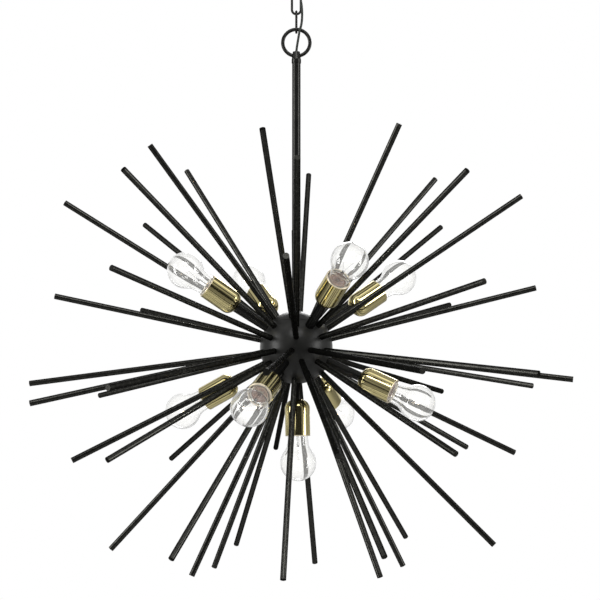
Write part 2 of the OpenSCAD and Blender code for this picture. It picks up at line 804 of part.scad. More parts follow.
// Each lead runs from the terminal block's surface through the arm to the centre contact
module lamp_leads() {
    gap = 0.4;
    steep = 60;
    color("dimgray") for (lamp = lamps) {
        tilt = abs(lamp[0]);
        foot = tilt < steep ? (block_d / 2 + lead_d / 2 * sin(tilt) + gap) / cos(tilt) : block_h / 2 + gap;
        at_spray() aim(lamp[0], lamp[1]) translate([0, 0, foot])
            cylinder(d = lead_d, h = lamp[2] + floor_set - foot);
    }
}

module at_bulb(i) {
    at_lamp(i) translate([0, 0, bulb_set]) children();
}

// One side of the glass, from the neck over the shoulder and the waist to the crown
function glass_line(inset) = concat(
    [[neck_r - inset, glass_foot]],
    [for (i = [0 : arc_steps]) let (u = i / arc_steps)
        [neck_r - inset + (shoulder_r - neck_r) * (1 - cos(180 * u)) / 2, shoulder_foot + shoulder_h * u]],
    arc(waist_x, waist_z, waist_bend + inset, 180 - waist_taper, 180 - ball_angle, arc_steps),
    after_first(arc(0, bulb_mid, bulb_r - inset, -ball_angle, 90, 2 * arc_steps)));

module bulb_glass(i) {
    color([0.85, 0.88, 0.9, 0.35]) at_bulb(i)
        rotate_extrude() polygon(concat(glass_line(0), backwards(glass_line(glass_t))));
}

// Screw cap: contact, insulator and thin threaded sleeve
module bulb_cap(i) {
    r = cap_d / 2;
    eyelet_r = 4.5;
    eyelet_h = 1;
    insulator_r = 5.5;
    insulator_top = 4;
    bevel = 1.6;
    sleeve_foot = insulator_top + bevel;
    color("silver") at_bulb(i) rotate_extrude() polygon([[0, 0], [eyelet_r, 0], [eyelet_r, eyelet_h],
        [insulator_r, eyelet_h], [r - bevel, insulator_top], [r, sleeve_foot], [r, cap_length],
        [r - cap_t, cap_length], [r - cap_t, sleeve_foot + cap_t],
        [r - bevel - cap_t, insulator_top + 2 * cap_t], [0, insulator_top + 2 * cap_t]]);
}

// Glass mount: a flange that closes the neck, a stem, two lead wires and the filament
module bulb_mount(i) {
    flange_h = 1.2;
    flange_set = 0.2;
    stem_foot_d = 10;
    stem_tip_d = 5;
    wire_d = 0.8;
    wire_foot = 2;
    wire_rise = 26;
    half = filament_length / 2;
    flange_foot = glass_foot + flange_set;
    stem_top = filament_rise - wire_rise;
    color([0.8, 0.82, 0.84]) at_bulb(i) {
        translate([0, 0, flange_foot]) cylinder(r = neck_r - glass_t - snug, h = flange_h);
        translate([0, 0, flange_foot + flange_h - wire_d])
            cylinder(d1 = stem_foot_d, d2 = stem_tip_d, h = stem_top - flange_foot - flange_h + 2 * wire_d);
        for (side = [0, 180]) rotate([0, 0, side]) translate([wire_foot, 0, stem_top])
            rotate([0, atan2(half - wire_foot, wire_rise), 0])
                cylinder(d = wire_d, h = norm([half - wire_foot, wire_rise]));
        translate([-half, 0, filament_rise]) rotate([0, 90, 0]) cylinder(d = wire_d, h = filament_length);
    }
}

crossbar();
crossbar_studs();
stud_locknuts();
canopy();
ball_nuts();
canopy_loop();
loop_nipple();
loop_nut();
ceiling_splices();
link_1();
link_2();
link_3();
supply_cord();
hanging_ring();
ring_collar();
stem_nipples();
stem();
hub_cap();
hub_bridge();
pipe_nuts();
hub_body();
arm_tubes();
arm_nipples();
socket_cups();
lampholders();
holder_shells();
holder_contacts();
lamp_leads();
terminal_block();
cap_rods();
short_rods();
long_rods();
for (i = [1 : lamp_count]) {
    bulb_glass(i - 1);
    bulb_cap(i - 1);
    bulb_mount(i - 1);
}
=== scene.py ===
# Looks of a burst pendant light: a black ball with rods, nine bulbs in brass cups, a stem, a ring
# and a short chain. Metres. The CAD frame gives every place; sections follow the way it is built.
import json
import math
import bpy
from mathutils import Matrix, Vector


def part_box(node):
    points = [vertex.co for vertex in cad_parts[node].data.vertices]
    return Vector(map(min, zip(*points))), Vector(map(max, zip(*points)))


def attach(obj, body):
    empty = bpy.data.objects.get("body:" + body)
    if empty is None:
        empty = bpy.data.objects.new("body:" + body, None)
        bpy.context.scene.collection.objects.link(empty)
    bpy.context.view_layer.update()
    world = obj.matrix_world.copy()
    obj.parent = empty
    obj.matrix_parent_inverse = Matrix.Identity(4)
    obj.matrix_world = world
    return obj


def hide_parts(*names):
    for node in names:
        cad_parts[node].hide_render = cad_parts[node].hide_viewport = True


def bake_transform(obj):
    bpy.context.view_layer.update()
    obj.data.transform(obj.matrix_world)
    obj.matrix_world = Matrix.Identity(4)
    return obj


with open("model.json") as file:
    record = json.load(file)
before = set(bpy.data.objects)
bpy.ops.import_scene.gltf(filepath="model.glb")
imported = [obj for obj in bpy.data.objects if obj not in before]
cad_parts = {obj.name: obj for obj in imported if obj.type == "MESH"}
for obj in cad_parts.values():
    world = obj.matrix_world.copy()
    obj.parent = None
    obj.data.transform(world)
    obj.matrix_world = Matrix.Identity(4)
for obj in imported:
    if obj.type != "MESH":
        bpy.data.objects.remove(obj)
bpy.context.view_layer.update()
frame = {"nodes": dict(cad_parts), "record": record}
nodes = frame["nodes"]
mm = 0.001


# Camera: it stands 2.66 m from the ball and lower than it, looking 5.5 degrees upwards, so that the
# ball comes a little left of and below the middle of the picture, as in the photograph.
def box_middle(node):
    low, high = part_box(node)
    return (low + high) / 2


hub = box_middle("terminal_block")
hub_distance = 2.662
look_up = math.radians(5.5)
hub_left = 0.0062
hub_below = 0.079
forward = Vector((0, math.cos(look_up), math.sin(look_up)))
upward = Vector((0, -math.sin(look_up), math.cos(look_up)))
camera = bpy.data.objects.new("camera", bpy.data.cameras.new("camera"))
camera.data.sensor_fit = "HORIZONTAL"
camera.data.sensor_width = 36
camera.data.lens = 96
camera.location = hub - forward * hub_distance + Vector((hub_left, 0, 0)) + upward * hub_below
camera.rotation_euler = (math.pi / 2 + look_up, 0, 0)
bpy.context.scene.collection.objects.link(camera)
bpy.context.scene.camera = camera


# Supply cord: a dark round flex, 4 mm thick. It leaves the canopy loop, runs down beside the three
# chain links, enters the ring's neck and goes down the stem to the terminal block. It is cut into
# one stretch for each chain joint, and neighbours meet face to face halfway along a link.
def mesh_object(name, verts, faces, smooth=True):
    """A mesh in the scene, from vertices and faces."""
    mesh = bpy.data.meshes.new(name)
    mesh.from_pydata([tuple(v) for v in verts], [], faces)
    mesh.validate()
    for polygon in mesh.polygons:
        polygon.use_smooth = smooth
    piece = bpy.data.objects.new(name, mesh)
    bpy.context.scene.collection.objects.link(piece)
    return piece


def through(points, steps):
    """A smooth curve through the points, as a list of points."""
    ends = [points[0] * 2 - points[1]] + points + [points[-1] * 2 - points[-2]]
    curve = []
    for a, b, c, d in zip(ends, ends[1:], ends[2:], ends[3:]):
        for i in range(steps):
            t = i / steps
            curve.append(0.5 * (2 * b + (c - a) * t + (2 * a - 5 * b + 4 * c - d) * t * t
                                + (3 * b - a - 3 * c + d) * t ** 3))
    return curve + [points[-1]]


def swept_tube(path, radius, sides):
    """Vertices and faces of a closed tube whose rings stand square to a mostly upright path."""
    verts, faces = [], []
    for i, point in enumerate(path):
        along = (path[min(i + 1, len(path) - 1)] - path[max(i - 1, 0)]).normalized()
        across = Vector((0, 1, 0)).cross(along).normalized()
        third = along.cross(across)
        for j in range(sides):
            angle = 2 * math.pi * j / sides
            verts.append(point + radius * (math.cos(angle) * across + math.sin(angle) * third))
    for i in range(len(path) - 1):
        for j in range(sides):
            a, b = i * sides + j, i * sides + (j + 1) % sides
            faces.append((a, b, b + sides, a + sides))
    faces.append(tuple(reversed(range(sides))))
    faces.append(tuple(range(len(verts) - sides, len(verts))))
    return verts, faces


def cut_at(path, height):
    """Splits a path that runs downwards at a height; both parts get the point there."""
    after = next(i for i, point in enumerate(path) if point.z < height)
    a, b = path[after - 1], path[after]
    point = a.lerp(b, (a.z - height) / (a.z - b.z))
    return path[:after] + [point], [point] + path[after:]


cord_diameter = 0.004
cord_sides = 16
cord_beside_chain = [Vector(p) * mm for p in [
    (0, 0, -35), (0.8, -1, -40), (2.2, -2.5, -45), (3.9, -4.2, -51), (5, -5.2, -57),
    (5.2, -5.2, -64), (5.2, -5.2, -72), (5.4, -5.2, -80), (5.8, -5.2, -88), (6.8, -5.2, -96),
    (8.2, -5.2, -104), (9.2, -5.2, -112), (9.7, -5.3, -120), (9.8, -5.3, -128),
    (9.4, -5.4, -135), (8.6, -5.5, -142), (7.4, -5.6, -147), (5.6, -5.5, -153),
    (4.4, -4.9, -160), (3.2, -3.7, -167), (1.8, -2, -175), (0.6, -0.6, -183), (0, 0, -189)]]
cord_low, cord_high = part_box("supply_cord")
cord_in_nipple = 12 * mm
stem_heights = [z / 100 for z in range(-20, int(cord_low.z * 100), -2)]  # every 2 cm down the stem
cord_rest = ([Vector((0, 0, cord_high.z)), Vector((0, 0, cord_high.z - cord_in_nipple))]
             + through(cord_beside_chain, 4)
             + [Vector((0, 0, z)) for z in stem_heights]
             + [Vector((0, 0, cord_low.z))])
cord_bodies = ["ceiling_mount", "link_1", "link_2", "link_3", "fixture"]
cord_pieces = []
for number, (upper, lower) in enumerate(zip(cord_bodies, cord_bodies[1:]), 1):
    if lower == "fixture":
        stretch = cord_rest
    else:
        stretch, cord_rest = cut_at(cord_rest, box_middle(lower).z)
    cord = mesh_object(f"cord_stretch_{number}", *swept_tube(stretch, cord_diameter / 2, cord_sides))
    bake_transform(cord)
    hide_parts("supply_cord")
    cord_pieces.append(cord)


def new_material(name):
    """A new material, with its node tree and its Principled shader."""
    material = bpy.data.materials.new(name)
    material.use_nodes = True
    return material, material.node_tree, material.node_tree.nodes["Principled BSDF"]


def colour(*rgb):
    """A colour as it shows on a screen, 0 to 255, made linear for a shader."""
    linear = [c / 255 / 12.92 if c <= 10 else ((c / 255 + 0.055) / 1.055) ** 2.4 for c in rgb]
    return tuple(linear) + (1,)


def shade_group(name, inputs, outputs):
    """An empty shader node group with named inputs, as (socket type, value), and outputs."""
    tree = bpy.data.node_groups.new(name, "ShaderNodeTree")
    for key, (kind, value) in inputs.items():
        tree.interface.new_socket(name=key, in_out="INPUT", socket_type=kind).default_value = value
    for key, kind in outputs.items():
        tree.interface.new_socket(name=key, in_out="OUTPUT", socket_type=kind)
    return tree, tree.nodes.new("NodeGroupInput"), tree.nodes.new("NodeGroupOutput")


def uneven_surface_group():
    """Colour, roughness and height that wander a little over a surface, with finer specks."""
    tree, given, out = shade_group(
        "uneven surface",
        {"Colour A": ("NodeSocketColor", (0.5, 0.5, 0.5, 1)),
         "Colour B": ("NodeSocketColor", (0.6, 0.6, 0.6, 1)),
         "Smooth": ("NodeSocketFloat", 0.3), "Rough": ("NodeSocketFloat", 0.4),
         "Patches per metre": ("NodeSocketFloat", 40.0),
         "Grains per metre": ("NodeSocketFloat", 900.0)},
        {"Color": "NodeSocketColor", "Roughness": "NodeSocketFloat", "Height": "NodeSocketFloat"})
    place = tree.nodes.new("ShaderNodeTexCoord")
    patches = tree.nodes.new("ShaderNodeTexNoise")
    patches.inputs["Detail"].default_value = 3
    grains = tree.nodes.new("ShaderNodeTexNoise")
    grains.inputs["Detail"].default_value = 2
    blend = tree.nodes.new("ShaderNodeMix")
    blend.data_type = "RGBA"
    spread = tree.nodes.new("ShaderNodeMapRange")
    link = tree.links.new
    link(place.outputs["Object"], patches.inputs["Vector"])
    link(place.outputs["Object"], grains.inputs["Vector"])
    link(given.outputs["Patches per metre"], patches.inputs["Scale"])
    link(given.outputs["Grains per metre"], grains.inputs["Scale"])
    link(patches.outputs["Fac"], blend.inputs["Factor"])
    link(given.outputs["Colour A"], blend.inputs["A"])
    link(given.outputs["Colour B"], blend.inputs["B"])
    link(patches.outputs["Fac"], spread.inputs["Value"])
    link(given.outputs["Smooth"], spread.inputs["To Min"])
    link(given.outputs["Rough"], spread.inputs["To Max"])
    link(blend.outputs["Result"], out.inputs["Color"])
    link(spread.outputs["Result"], out.inputs["Roughness"])
    link(grains.outputs["Fac"], out.inputs["Height"])
    return tree


uneven_surface = uneven_surface_group()


def finish_material(name, colour_a, colour_b, smooth, rough, patches, grains, bump=0.0,
                    bump_height=0.0, metallic=0.0, specular=0.5, edge=1.0):
    """A material whose colour, roughness and fine relief come from the uneven surface group.

    It takes two colours, two roughnesses, and the patches and grains per metre. The edge value
    is how much a metal brightens where it is seen at a slant.
    """
    material, tree, shader = new_material(name)
    surface = tree.nodes.new("ShaderNodeGroup")
    surface.node_tree = uneven_surface
    surface.inputs["Colour A"].default_value = colour_a
    surface.inputs["Colour B"].default_value = colour_b
    surface.inputs["Smooth"].default_value = smooth
    surface.inputs["Rough"].default_value = rough
    surface.inputs["Patches per metre"].default_value = patches
    surface.inputs["Grains per metre"].default_value = grains
    tree.links.new(surface.outputs["Color"], shader.inputs["Base Color"])
    tree.links.new(surface.outputs["Roughness"], shader.inputs["Roughness"])
    shader.inputs["Metallic"].default_value = metallic
    shader.inputs["Specular IOR Level"].default_value = specular
    shader.inputs["Specular Tint"].default_value = (edge, edge, edge, 1)
    if bump:
        relief = tree.nodes.new("ShaderNodeBump")
        relief.inputs["Strength"].default_value = bump
        relief.inputs["Distance"].default_value = bump_height
        tree.links.new(surface.outputs["Height"], relief.inputs["Height"])
        tree.links.new(relief.outputs["Normal"], shader.inputs["Normal"])
    return material


def dress(material, *names):
    """Gives CAD nodes a material in place of their own."""
    for name in names:
        nodes[name].data.materials.clear()
        nodes[name].data.materials.append(material)


cord_jacket = finish_material("cord jacket", colour(44, 48, 44), colour(56, 60, 55), 0.42, 0.58,
                              90, 2500, bump=0.15, bump_height=0.0001, specular=0.3)
for cord in cord_pieces:
    cord.data.materials.append(cord_jacket)


# Ceiling hardware: a zinc-plated steel crossbar screwed to the ceiling box, its two studs with lock
# nuts, the loop's hollow nipple and nut, and all the nipples and nuts inside the light.
zinc_plate = finish_material("zinc plate", colour(176, 178, 182), colour(205, 206, 208), 0.28, 0.45,
                             260, 3000, bump=0.1, bump_height=0.00005, metallic=1.0)
dress(zinc_plate, "crossbar", "crossbar_studs", "stud_locknuts", "loop_nipple", "loop_nut",
      "stem_nipples", "hub_bridge", "pipe_nuts", "arm_nipples")


# Wire splices: moulded twist-on connectors that lie on the canopy's floor.
splice_plastic = finish_material("splice plastic", colour(214, 112, 30), colour(226, 126, 40), 0.32, 0.42,
                                 300, 2600, bump=0.12, bump_height=0.0001)
dress(splice_plastic, "ceiling_splices")


# Canopy, ball nuts, loop, chain links, hanging ring, collar and stem: steel under black enamel,
# with the slight orange peel of sprayed paint. The stem is the same tube as the arms.
black_enamel = finish_material("black enamel", colour(48, 48, 47), colour(60, 60, 58), 0.2, 0.3,
                               30, 1400, bump=0.05, bump_height=0.0002, metallic=0.8, edge=0.0)
dress(black_enamel, "canopy", "ball_nuts", "canopy_loop", "link_1", "link_2", "link_3",
      "hanging_ring", "ring_collar", "stem", "arm_tubes")


# Ball hub: a spun steel body and cap that meet at a groove, in the same black with a flatter coat.
hub_enamel = finish_material("hub enamel", colour(30, 30, 29), colour(42, 42, 40), 0.3, 0.4,
                             45, 1200, bump=0.08, bump_height=0.0003, specular=0.3)
dress(hub_enamel, "hub_body", "hub_cap")


# Rods: solid bar cut square, blackened and lacquered, each screwed into the ball by its stud.
rod_enamel = finish_material("rod enamel", colour(28, 28, 27), colour(76, 76, 72), 0.2, 0.32,
                             160, 1100, bump=0.3, bump_height=0.0002, metallic=0.9,
                             specular=0.15, edge=0.0)
dress(rod_enamel, "cap_rods", "short_rods", "long_rods")


# Socket cups: drawn brass with a domed end and a rolled rim, polished and lacquered. One cup is
# turned from its outline, and set on all nine arms, whose places come from the lamp sockets' mounts.
def arc(x, y, radius, start, end, steps):
    """Points of an arc in a turned outline, as (radius, height), angles in degrees."""
    angles = [math.radians(start + (end - start) * i / steps) for i in range(steps + 1)]
    return [(x + radius * math.cos(a), y + radius * math.sin(a)) for a in angles]


def turned(outline, sides, closed):
    """Vertices and faces of an outline turned round +Z. Points on the axis become one vertex."""
    verts, faces, rings = [], [], []
    for radius, height in outline:
        count = 1 if radius < 1e-7 else sides
        rings.append([len(verts) + j for j in range(count)])
        for j in range(count):
            angle = 2 * math.pi * j / sides
            verts.append((radius * math.cos(angle), radius * math.sin(angle), height))
    after = rings[1:] + rings[:1] if closed else rings[1:]
    for a, b in zip(rings, after):
        for j in range(sides):
            k = (j + 1) % sides
            corners = [a[j % len(a)], a[k % len(a)], b[k % len(b)], b[j % len(b)]]
            corners = tuple(dict.fromkeys(corners))
            if len(corners) > 2:
                faces.append(corners)
    return verts, faces


lamp_mounts = [m for m in frame["record"]["mounts"] if m["name"].startswith("lamp_socket_")]
holder_mouth = 0.054  # from a cup's closed end to its lampholder's mouth, where the mount is
lamp_feet = [Vector(m["pos_m"]) - Vector(m["axis"]).normalized() * holder_mouth for m in lamp_mounts]
lamp_axes = [Vector(m["axis"]).normalized() for m in lamp_mounts]


def lamp_matrix(number):
    """Place of one lamp: the middle of its cup's closed end, with +Z out along the lamp."""
    turn = lamp_axes[number].to_track_quat("Z", "Y").to_matrix().to_4x4()
    return Matrix.Translation(lamp_feet[number]) @ turn


def set_on_lamps_tree():
    """Sets a piece on every lamp's foot, with +Z along the lamp."""
    tree = bpy.data.node_groups.new("set on lamps", "GeometryNodeTree")
    socket = tree.interface.new_socket
    socket(name="Geometry", in_out="INPUT", socket_type="NodeSocketGeometry")
    socket(name="Piece", in_out="INPUT", socket_type="NodeSocketObject")
    socket(name="Finish", in_out="INPUT", socket_type="NodeSocketMaterial")
    socket(name="Geometry", in_out="OUTPUT", socket_type="NodeSocketGeometry")
    given, out = tree.nodes.new("NodeGroupInput"), tree.nodes.new("NodeGroupOutput")
    piece = tree.nodes.new("GeometryNodeObjectInfo")
    axis = tree.nodes.new("GeometryNodeInputNamedAttribute")
    axis.data_type = "FLOAT_VECTOR"
    axis.inputs["Name"].default_value = "axis"
    turn = tree.nodes.new("FunctionNodeAlignRotationToVector")
    turn.axis = "Z"
    turn.pivot_axis = "AUTO"
    place = tree.nodes.new("GeometryNodeInstanceOnPoints")
    real = tree.nodes.new("GeometryNodeRealizeInstances")
    paint = tree.nodes.new("GeometryNodeSetMaterial")
    link = tree.links.new
    link(given.outputs["Piece"], piece.inputs["Object"])
    link(given.outputs["Geometry"], place.inputs["Points"])
    link(piece.outputs["Geometry"], place.inputs["Instance"])
    link(axis.outputs["Attribute"], turn.inputs["Vector"])
    link(turn.outputs["Rotation"], place.inputs["Rotation"])
    link(place.outputs["Instances"], real.inputs["Geometry"])
    link(real.outputs["Geometry"], paint.inputs["Geometry"])
    link(given.outputs["Finish"], paint.inputs["Material"])
    link(paint.outputs["Geometry"], out.inputs["Geometry"])
    return tree


def made_by(tree, name, base, settings):
    """Runs a geometry tree on a base mesh and returns the result as a plain mesh object."""
    modifier = base.modifiers.new(tree.name, "NODES")
    modifier.node_group = tree
    inputs = [item for item in tree.interface.items_tree if item.in_out == "INPUT"]
    keys = {item.name: item.identifier for item in inputs}
    for key, value in settings.items():
        modifier[keys[key]] = value
    graph = bpy.context.evaluated_depsgraph_get()
    graph.update()
    mesh = bpy.data.meshes.new_from_object(
        base.evaluated_get(graph), preserve_all_data_layers=True, depsgraph=graph)
    mesh.name = name
    mesh.materials.clear()
    mesh.materials.append(settings["Finish"])
    mesh.polygons.foreach_set("material_index", [0] * len(mesh.polygons))
    base.modifiers.remove(modifier)
    bpy.data.objects.remove(base)
    piece = bpy.data.objects.new(name, mesh)
    bpy.context.scene.collection.objects.link(piece)
    return piece


set_on_lamps = set_on_lamps_tree()


def on_every_lamp(name, outline, sides, closed, material):
    """Turns an outline once and sets it on all nine lamps, as one mesh on the fixture."""
    master = mesh_object(name + "_master", *turned(outline, sides, closed))
    points = mesh_object(name + "_points", lamp_feet, [])
    axis = points.data.attributes.new("axis", "FLOAT_VECTOR", "POINT")
    axis.data.foreach_set("vector", [c for a in lamp_axes for c in a])
    piece = made_by(set_on_lamps, name, points, {"Piece": master, "Finish": material})
    for polygon in piece.data.polygons:
        polygon.use_smooth = True
    bpy.data.objects.remove(master)
    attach(piece, "fixture")
    return piece


cup_radius = 20.75 * mm
cup_length = 60.4 * mm
cup_wall = 1.2 * mm
cup_dome = 15 * mm
cup_bead = 1.3 * mm
cup_sides = 96
pipe_hole = 5.05 * mm
cup_top = cup_length - cup_bead
edge_loop = 0.2 * mm  # from an edge to the loop that keeps the shading true up to it
rim_outline = arc(cup_radius - cup_bead, cup_top, cup_bead, 0, 345, 23)
cup_outline = ([(pipe_hole, 0)]
               + arc(cup_radius - cup_dome, cup_dome, cup_dome, -90, 0, 20)
               + [(cup_radius, cup_length / 2), (cup_radius, cup_top - edge_loop),
                  (cup_radius, cup_top), (cup_radius - cup_wall, cup_top),
                  (cup_radius - cup_wall, cup_top - edge_loop),
                  (cup_radius - cup_wall, cup_length / 2)]
               + arc(cup_radius - cup_dome, cup_dome, cup_dome - cup_wall, 0, -90, 20)
               + [(pipe_hole, cup_wall)])
polished_brass = finish_material("polished brass", colour(222, 207, 146), colour(232, 220, 166), 0.06, 0.12,
                                 60, 2200, bump=0.02, bump_height=0.00005, metallic=1.0)
# Painted highlight: the rolled rims get a pale cream, less metallic finish of their own, for the bright
# reflection they show.
rim_painted_highlight = finish_material("rim painted highlight", colour(250, 238, 212), colour(240, 226, 196), 0.25, 0.35,
                                90, 2200, metallic=0.4)
cups = on_every_lamp("brass_cups", cup_outline, cup_sides, True, polished_brass)
rims = on_every_lamp("cup_rims", rim_outline, cup_sides, True, rim_painted_highlight)
for piece in (cups, rims):
    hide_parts("socket_cups")


# Lampholders: glazed mouldings in the cups, each with a drawn brass shell whose rolled thread shows
# as rings round the bulb's cap, and a brass contact on its floor.
holder_rear = 12 * mm
holder_radius = 16.5 * mm
ring_radius = 17 * mm
ring_bore = 15.4 * mm
ring_top = holder_mouth + 3 * mm
ring_round = 0.5 * mm
cavity_radius = 14.05 * mm
cavity_floor = 24 * mm
mouth_round = 0.8 * mm
holder_bevel = 1 * mm
ring_foot = holder_mouth - 1 * mm
holder_sides = 72
holder_outline = ([(pipe_hole, holder_rear), (holder_radius - holder_bevel, holder_rear),
                   (holder_radius, holder_rear + holder_bevel),
                   (holder_radius, ring_foot), (ring_radius, ring_foot)]
                  + arc(ring_radius - ring_round, ring_top - ring_round, ring_round, 0, 90, 6)
                  + arc(ring_bore + ring_round, ring_top - ring_round, ring_round, 90, 180, 6)
                  + [(ring_bore, holder_mouth)]
                  + arc(cavity_radius + mouth_round, holder_mouth - mouth_round, mouth_round, 90, 180, 6)
                  + [(cavity_radius, cavity_floor), (pipe_hole, cavity_floor)])
holder_glaze = finish_material("holder glaze", colour(248, 236, 220), colour(254, 244, 230), 0.25, 0.4,
                               120, 1500, bump=0.05, bump_height=0.0001)
holders = on_every_lamp("holder_mouldings", holder_outline, holder_sides, True, holder_glaze)
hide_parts("lampholders")
contact_brass = finish_material("contact brass", colour(206, 170, 98), colour(190, 150, 82), 0.25, 0.4,
                                200, 2500, metallic=1.0)
shell_inner = 13.4 * mm
shell_wall = 0.25 * mm
thread_pitch = 3.6 * mm
thread_depth = 0.32 * mm
shell_foot, shell_top = 25.3 * mm, 50.3 * mm
shell_steps = 56
shell_sides = 64


def thread_wave(height):
    """How far a rolled thread stands out at a height."""
    return thread_depth / 2 * (1 + math.cos(2 * math.pi * height / thread_pitch))


shell_heights = [shell_foot + (shell_top - shell_foot) * i / shell_steps for i in range(shell_steps + 1)]
shell_outline = ([(shell_inner + shell_wall + thread_wave(z), z) for z in shell_heights]
                 + [(shell_inner + thread_wave(z), z) for z in reversed(shell_heights)])
shells = on_every_lamp("threaded_shells", shell_outline, shell_sides, True, contact_brass)
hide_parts("holder_shells")
dress(contact_brass, "holder_contacts")


# Leads and terminal block: black insulated leads that fan out from an off-white block in the ball.
lead_jacket = finish_material("lead jacket", colour(38, 38, 40), colour(52, 52, 54), 0.45, 0.6,
                              150, 2500, bump=0.1, bump_height=0.0001)
block_plastic = finish_material("block plastic", colour(214, 212, 204), colour(226, 224, 216), 0.4, 0.5,
                                120, 2000, bump=0.08, bump_height=0.0001)
dress(lead_jacket, "lamp_leads")
dress(block_plastic, "terminal_block")


# Bulbs: clear blown glass on a rolled screw cap. The neck is cemented into the cap, and a pressed
# glass mount closes it and holds the lead wires and the coiled filament.
bulb_seat = 25.3 * mm  # from a cup's closed end to its bulb's contact
bulb_length = 109.1 * mm
bulb_radius = 30 * mm
bulb_middle = bulb_length - bulb_radius
ball_angle = 38
waist_bend = 28 * mm
waist_taper = 5
glass_wall = 1 * mm
cap_radius = 13.1 * mm
cap_length = 26 * mm
neck_radius = 12.7 * mm
neck_foot = 24.7 * mm
shoulder_foot = 27.7 * mm
shoulder_top = 35.1 * mm
waist_x = (bulb_radius + waist_bend) * math.cos(math.radians(ball_angle))
waist_z = bulb_middle - (bulb_radius + waist_bend) * math.sin(math.radians(ball_angle))
waist_rise = waist_z + waist_bend * math.sin(math.radians(waist_taper)) - shoulder_top
shoulder_steps = 12
near_pole = 89.999  # the crown ends in one vertex on the axis
waist_steps = 14
ball_steps = 40
shoulder_radius = (waist_x - waist_bend * math.cos(math.radians(waist_taper))
                   - waist_rise * math.tan(math.radians(waist_taper)))


def glass_side(inset):
    """One wall of the glass, from the neck over the shoulder and the waist to the crown."""
    shoulder = []
    for i in range(shoulder_steps + 1):
        rise = i / shoulder_steps
        swell = (1 - math.cos(math.pi * rise)) / 2
        shoulder.append((neck_radius - inset + (shoulder_radius - neck_radius) * swell,
                         shoulder_foot + (shoulder_top - shoulder_foot) * rise))
    return ([(neck_radius - inset, neck_foot)] + shoulder
            + arc(waist_x, waist_z, waist_bend + inset, 180 - waist_taper, 180 - ball_angle, waist_steps)
            + arc(0, bulb_middle, bulb_radius - inset, -ball_angle, near_pole, ball_steps)[1:-1]
            + [(0, bulb_middle + bulb_radius - inset)])


glass_outline = glass_side(0) + list(reversed(glass_side(glass_wall)))

# The glass has painted shade where it is seen at a slant: its colour greys towards its outline. It
# has a painted glow too, a faint emission though it is no lamp, so that the rods behind it look paler.
clear_glass, glass_tree, glass_shader = new_material("clear glass")
glass_shader.inputs["Transmission Weight"].default_value = 1.0
glass_shader.inputs["Roughness"].default_value = 0.0
glass_shader.inputs["IOR"].default_value = 1.5
glass_shader.inputs["Specular IOR Level"].default_value = 0.5
glass_rim = glass_tree.nodes.new("ShaderNodeLayerWeight")
glass_rim.inputs["Blend"].default_value = 0.24
# Painted shade: the glass's colour turns grey where it is seen at a slant.
glass_slant_shade = glass_tree.nodes.new("ShaderNodeMix")
glass_slant_shade.data_type = "RGBA"
glass_slant_shade.inputs["A"].default_value = (0.96, 0.96, 0.95, 1)
glass_slant_shade.inputs["B"].default_value = (0.58, 0.58, 0.59, 1)
# Painted glow: the glass emits faintly, though it is no lamp.
glass_shader.inputs["Emission Color"].default_value = (1, 0.99, 0.96, 1)
glass_shader.inputs["Emission Strength"].default_value = 0.04
glass_tree.links.new(glass_rim.outputs["Facing"], glass_slant_shade.inputs["Factor"])
glass_tree.links.new(glass_slant_shade.outputs["Result"], glass_shader.inputs["Base Color"])

cap_metal = finish_material("cap metal", colour(196, 196, 198), colour(214, 214, 216), 0.22, 0.34,
                            300, 2600, bump=0.05, bump_height=0.00005, metallic=1.0)
basing_cement = finish_material("basing cement", colour(112, 88, 78), colour(188, 160, 146), 0.6, 0.8,
                                260, 4000, bump=0.3, bump_height=0.0002)

# Screw cap: the centre contact, the cone of its insulator, the rolled thread, the rim, and the wall
# inside, all as (radius, height above the contact).
contact_radius, contact_height = 4.5 * mm, 1 * mm
contact_edge = 0.2 * mm
insulator_radius, insulator_top = 11.5 * mm, 4 * mm
thread_foot, thread_step, thread_steps = 5.6 * mm, 0.45 * mm, 40
cap_wall = 0.75 * mm
cap_edge = 0.3 * mm
cap_inside_foot = 4.8 * mm
thread_heights = [thread_foot + thread_step * i for i in range(thread_steps)]
cap_outline = ([(0, 0), (contact_radius - contact_edge, 0), (contact_radius, contact_edge),
                (contact_radius, contact_height), (contact_radius + 1 * mm, contact_height),
                (insulator_radius, insulator_top)]
               + [(cap_radius - thread_depth + thread_wave(z), z) for z in thread_heights]
               + [(cap_radius - 0.1 * mm, cap_length - 1.5 * mm), (cap_radius, cap_length - 1 * mm),
                  (cap_radius, cap_length), (cap_radius - cap_edge, cap_length),
                  (cap_radius - cap_wall, cap_length - 1.5 * mm),
                  (cap_radius - cap_wall, 6.2 * mm), (11 * mm, cap_inside_foot), (0, cap_inside_foot)])

# Glass mount: a foot that closes the neck, a flare that narrows to a stem, and a rounded tip.
flare_radius, flare_top = 11.7 * mm, neck_foot + 0.6 * mm
stem_radius = 2.6 * mm
flare_steps = 8
flare = [(stem_radius + 7.4 * mm * (1 - i / flare_steps) ** 3, neck_foot + 1.4 * mm + 0.7 * mm * i)
         for i in range(flare_steps + 1)]
mount_outline = ([(0, neck_foot + 0.4 * mm), (6 * mm, neck_foot + 0.4 * mm),
                  (11.4 * mm, neck_foot + 0.2 * mm), (flare_radius, flare_top),
                  (11.4 * mm, neck_foot + 1.1 * mm)]
                 + flare
                 + [(stem_radius, 46 * mm), (2.4 * mm, 51 * mm), (1.5 * mm, 53.5 * mm), (0, 54 * mm)])


